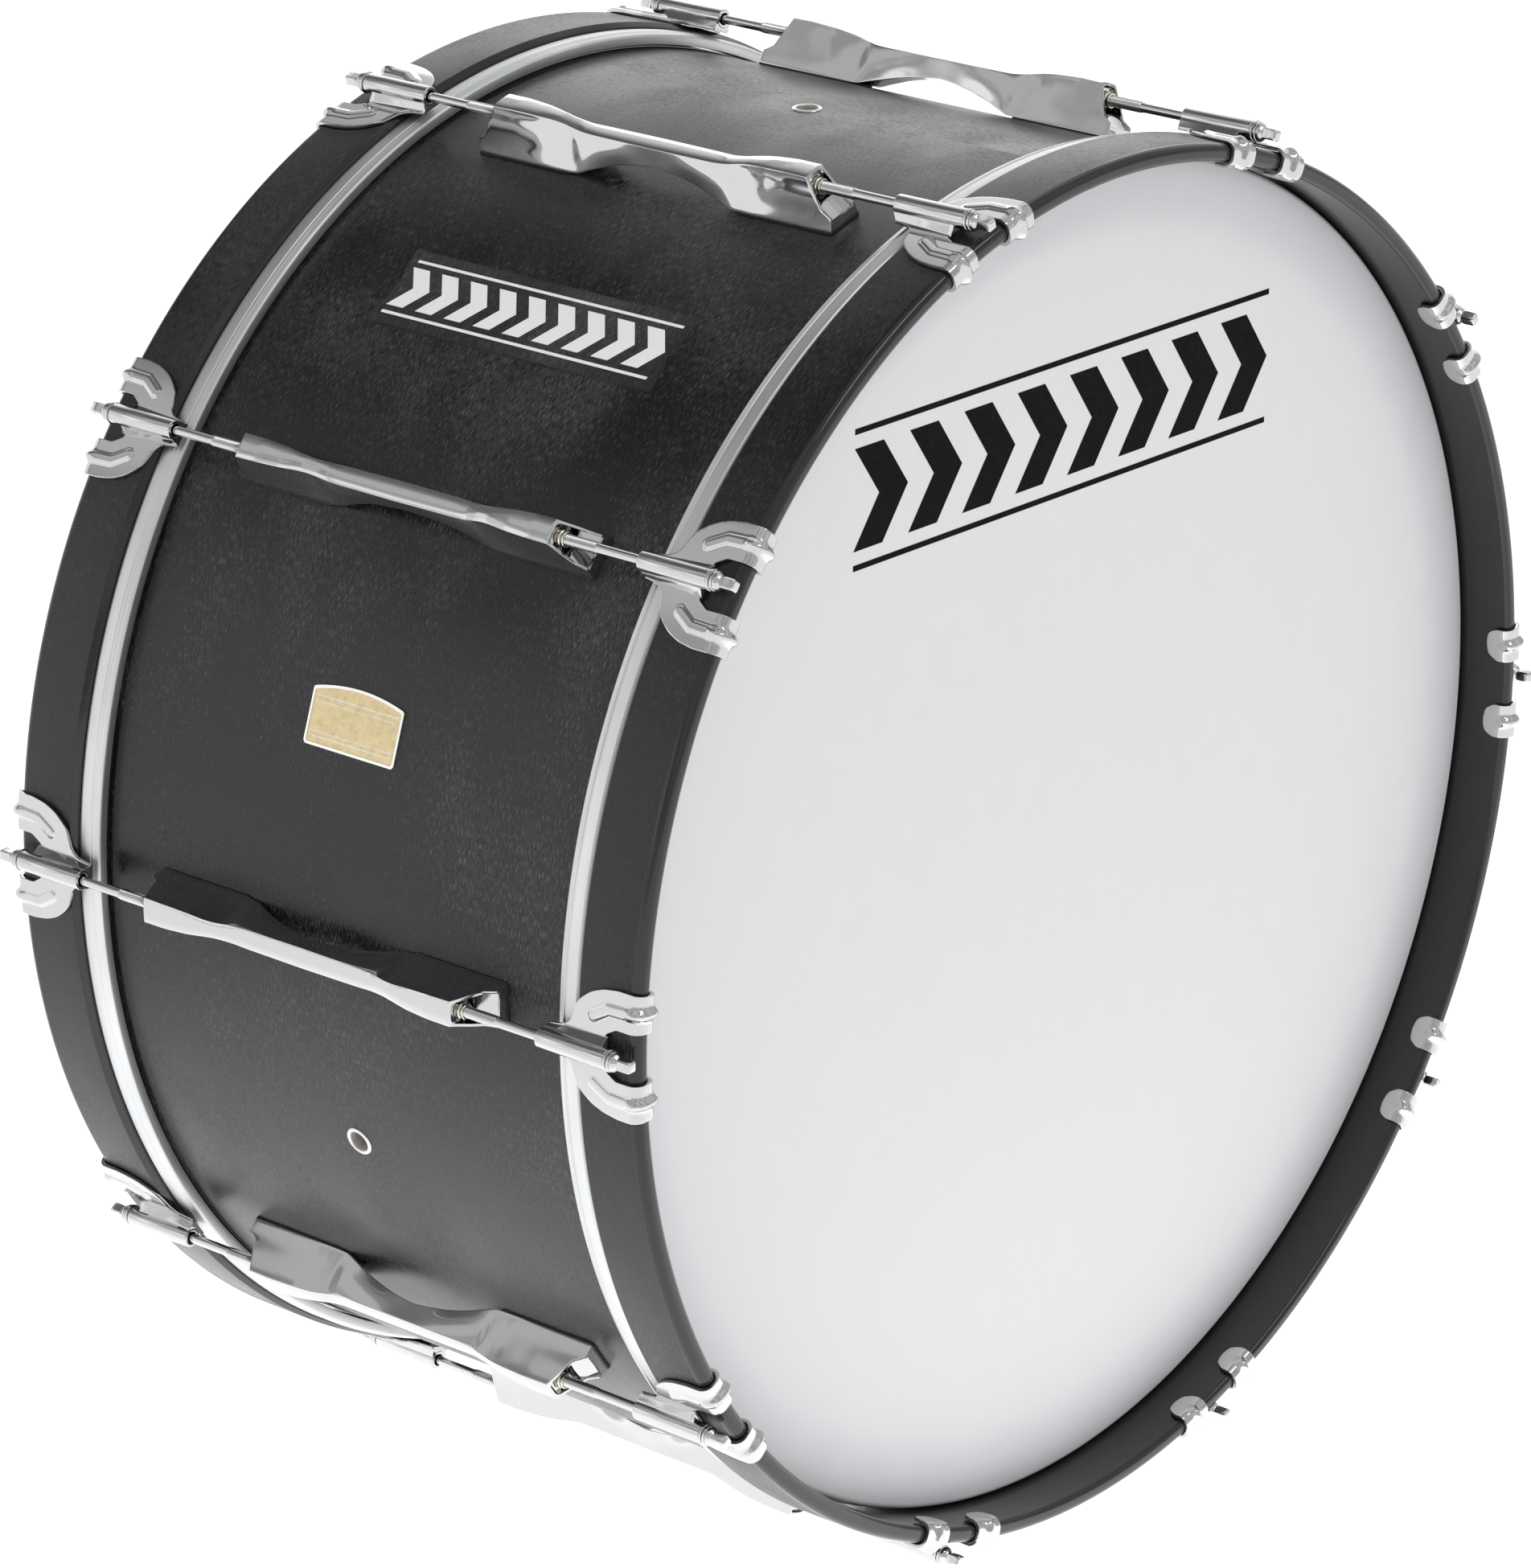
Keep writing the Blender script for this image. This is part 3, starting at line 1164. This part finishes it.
def softbox(name, direction, distance, size, radiance):
    """Rectangular light that faces the drum's middle from this direction."""
    data = bpy.data.lights.new(name, "AREA")
    data.shape, (data.size, data.size_y) = "RECTANGLE", size
    data.energy = radiance * math.pi * size[0] * size[1]
    obj = linked(name, data)
    away = Vector(direction).normalized()
    place = Matrix.Translation(away * distance + Vector((0, 0, AXIS_HEIGHT)))
    obj.matrix_world = place @ away.to_track_quat("Z", "Y").to_matrix().to_4x4()


def studio():
    """White surroundings, darker up behind the drum on its left, with broad soft patches for the chrome."""
    world = bpy.data.worlds.new("studio")
    bpy.context.scene.world = world
    world.use_nodes = True
    tree = world.node_tree
    tree.nodes.clear()

    def node(kind, inputs=(), **settings):
        return add_node(tree, kind, inputs, **settings)

    direction = node("ShaderNodeTexCoord").outputs["Generated"]
    axes = node("ShaderNodeSeparateXYZ", {0: direction}).outputs

    def fade(value, low, high, to_low, to_high):
        inputs = {"Value": value, 1: low, 2: high, 3: to_low, 4: to_high}
        return node("ShaderNodeMapRange", inputs, interpolation_type="SMOOTHSTEP").outputs[0]

    behind = fade(axes["Y"], -0.15, 0.25, 0.0, 1.0)
    left = fade(axes["X"], -0.5, -0.2, 0.62, 0.2)
    ceiling = fade(axes["X"], 0.1, 0.6, left, 1.05)
    upward = fade(axes["Z"], 0.33, 0.43, 0.0, 1.0)
    back = node("ShaderNodeMix", {0: upward, 2: 1.2, 3: ceiling}, data_type="FLOAT").outputs[0]
    level = node("ShaderNodeMix", {0: behind, 2: 0.69, 3: back}, data_type="FLOAT").outputs[0]
    patches = node("ShaderNodeTexNoise", {"Vector": direction, "Scale": 4.0, "Detail": 1.0}).outputs["Fac"]
    panels = fade(patches, 0.43, 0.55, 0.78, 1.14)
    strength = node("ShaderNodeMath", {0: level, 1: panels}, operation="MULTIPLY").outputs[0]
    light = node("ShaderNodeBackground", {"Color": (1.0, 1.0, 1.0, 1.0), "Strength": strength})
    white = node("ShaderNodeBackground", {"Color": (1.0, 1.0, 1.0, 1.0), "Strength": 1.0})
    seen = node("ShaderNodeLightPath").outputs["Is Camera Ray"]
    mixed = node("ShaderNodeMixShader", {0: seen, 1: light.outputs[0], 2: white.outputs[0]})
    tree.links.new(mixed.outputs[0], node("ShaderNodeOutputWorld").inputs["Surface"])


camera()
floor()
studio()
softbox("back_light", (0.66, 0.60, 0.42), 3.6, (1.6, 1.6), 1.0)
softbox("key_light", (0.10, -0.58, 0.80), 3.8, (2.4, 0.35), 6.0)
bpy.context.scene.view_settings.view_transform = "Standard"
